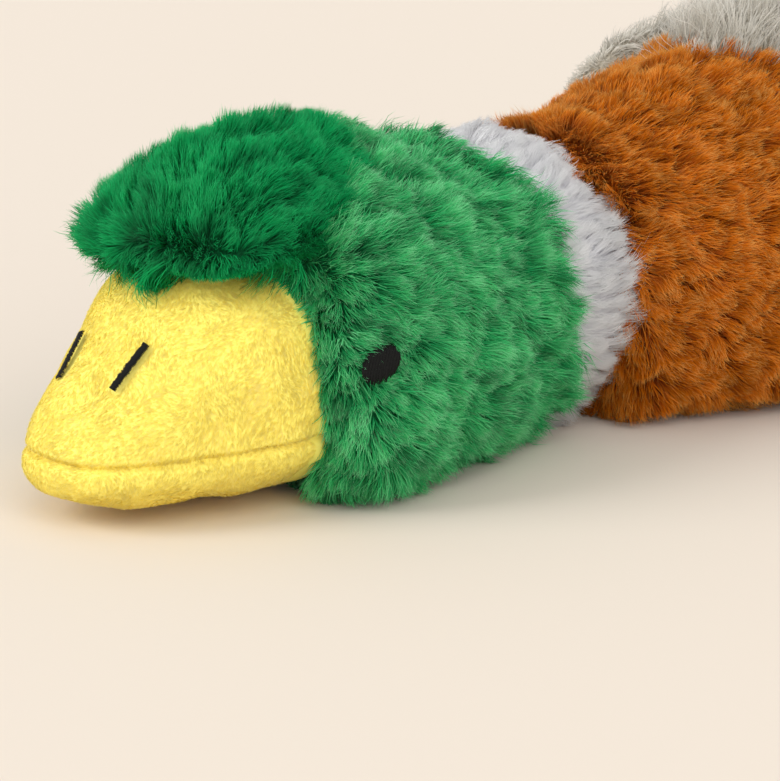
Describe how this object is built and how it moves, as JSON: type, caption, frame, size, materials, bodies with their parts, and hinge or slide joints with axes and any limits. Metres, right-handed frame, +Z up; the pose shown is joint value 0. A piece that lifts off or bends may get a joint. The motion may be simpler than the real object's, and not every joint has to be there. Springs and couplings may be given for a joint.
{
  "type": "plush duck",
  "caption": "Stuffed plush drake lying on its belly, with nodding and turning head, lifting wings and tail, and floppy webbed feet.",
  "frame": {"origin": "middle of the belly's flat resting face, on the ground plane", "axes": "-Y towards the bill, +Y towards the tail, +X towards the duck's left side, +Z up"},
  "size_m": [0.2314, 0.4326, 0.1074],
  "materials": {
    "green_fur": "long matt pile",
    "dark_green_fur": "long matt pile",
    "yellow_minky": "short matt pile",
    "white_fur": "long matt pile",
    "brown_fur": "long matt pile",
    "grey_fur": "shaggy matt pile",
    "black_thread": "satin stitch",
    "fibre_fill": "loose fibre"
  },
  "bodies": {
    "torso": {"breast_left_panel": "brown_fur", "breast_right_panel": "brown_fur", "back_left_panel": "grey_fur", "back_right_panel": "grey_fur", "belly_panel": "grey_fur", "torso_stuffing": "fibre_fill"},
    "neck": {"collar": "white_fur", "neck_stuffing": "fibre_fill"},
    "head": {"head_left_panel": "green_fur", "head_right_panel": "green_fur", "head_crown_gusset": "green_fur", "head_stuffing": "fibre_fill", "eye_left": "black_thread", "eye_right": "black_thread", "forelock": "dark_green_fur", "bill_lower_panel": "yellow_minky", "bill_upper_panel": "yellow_minky", "bill_stuffing": "fibre_fill", "nostril_left": "black_thread", "nostril_right": "black_thread"},
    "wing_left": {"wing_left_panel": "grey_fur", "wing_left_lining": "grey_fur", "wing_left_wadding": "fibre_fill"},
    "wing_right": {"wing_right_panel": "grey_fur", "wing_right_lining": "grey_fur", "wing_right_wadding": "fibre_fill"},
    "tail": {"tail_upper_panel": "grey_fur", "tail_under_panel": "white_fur", "tail_wadding": "fibre_fill"},
    "foot_left": {"foot_left_top_panel": "yellow_minky", "foot_left_sole_panel": "yellow_minky", "foot_left_wadding": "fibre_fill"},
    "foot_right": {"foot_right_top_panel": "yellow_minky", "foot_right_sole_panel": "yellow_minky", "foot_right_wadding": "fibre_fill"}
  },
  "joints": [
    {"name": "neck_lift", "type": "hinge", "parent": "torso", "child": "neck", "pos_m": [0, -0.11025, 0.0405], "axis": [-1, 0, 0], "range_deg": [-10, 22], "stiffness_Nm_per_rad": 0.6},
    {"name": "head_turn", "type": "hinge", "parent": "neck", "child": "head", "pos_m": [0, -0.11025, 0.0405], "axis": [0, -0.225, 0.9744], "range_deg": [-22, 22], "stiffness_Nm_per_rad": 0.4},
    {"name": "tail_lift", "type": "hinge", "parent": "torso", "child": "tail", "pos_m": [0, 0.11617, 0.07691], "axis": [1, 0, 0], "range_deg": [-20, 35], "stiffness_Nm_per_rad": 0.12},
    {"name": "wing_left_flap", "type": "hinge", "parent": "torso", "child": "wing_left", "pos_m": [0.04366, -0.00773, 0.084], "axis": [0.011, -0.9901, -0.14], "range_deg": [0, 80]},
    {"name": "wing_right_flap", "type": "hinge", "parent": "torso", "child": "wing_right", "pos_m": [-0.04366, -0.00773, 0.084], "axis": [0.011, 0.9901, 0.14], "range_deg": [0, 80]},
    {"name": "foot_left_swing", "type": "hinge", "parent": "torso", "child": "foot_left", "pos_m": [0.06334, 0.04575, 0.0055], "axis": [0.5736, -0.8192, 0], "range_deg": [-20, 30], "stiffness_Nm_per_rad": 0.04},
    {"name": "foot_right_swing", "type": "hinge", "parent": "torso", "child": "foot_right", "pos_m": [-0.06334, 0.04575, 0.0055], "axis": [0.5736, 0.8192, 0], "range_deg": [-20, 30], "stiffness_Nm_per_rad": 0.04}
  ]
}
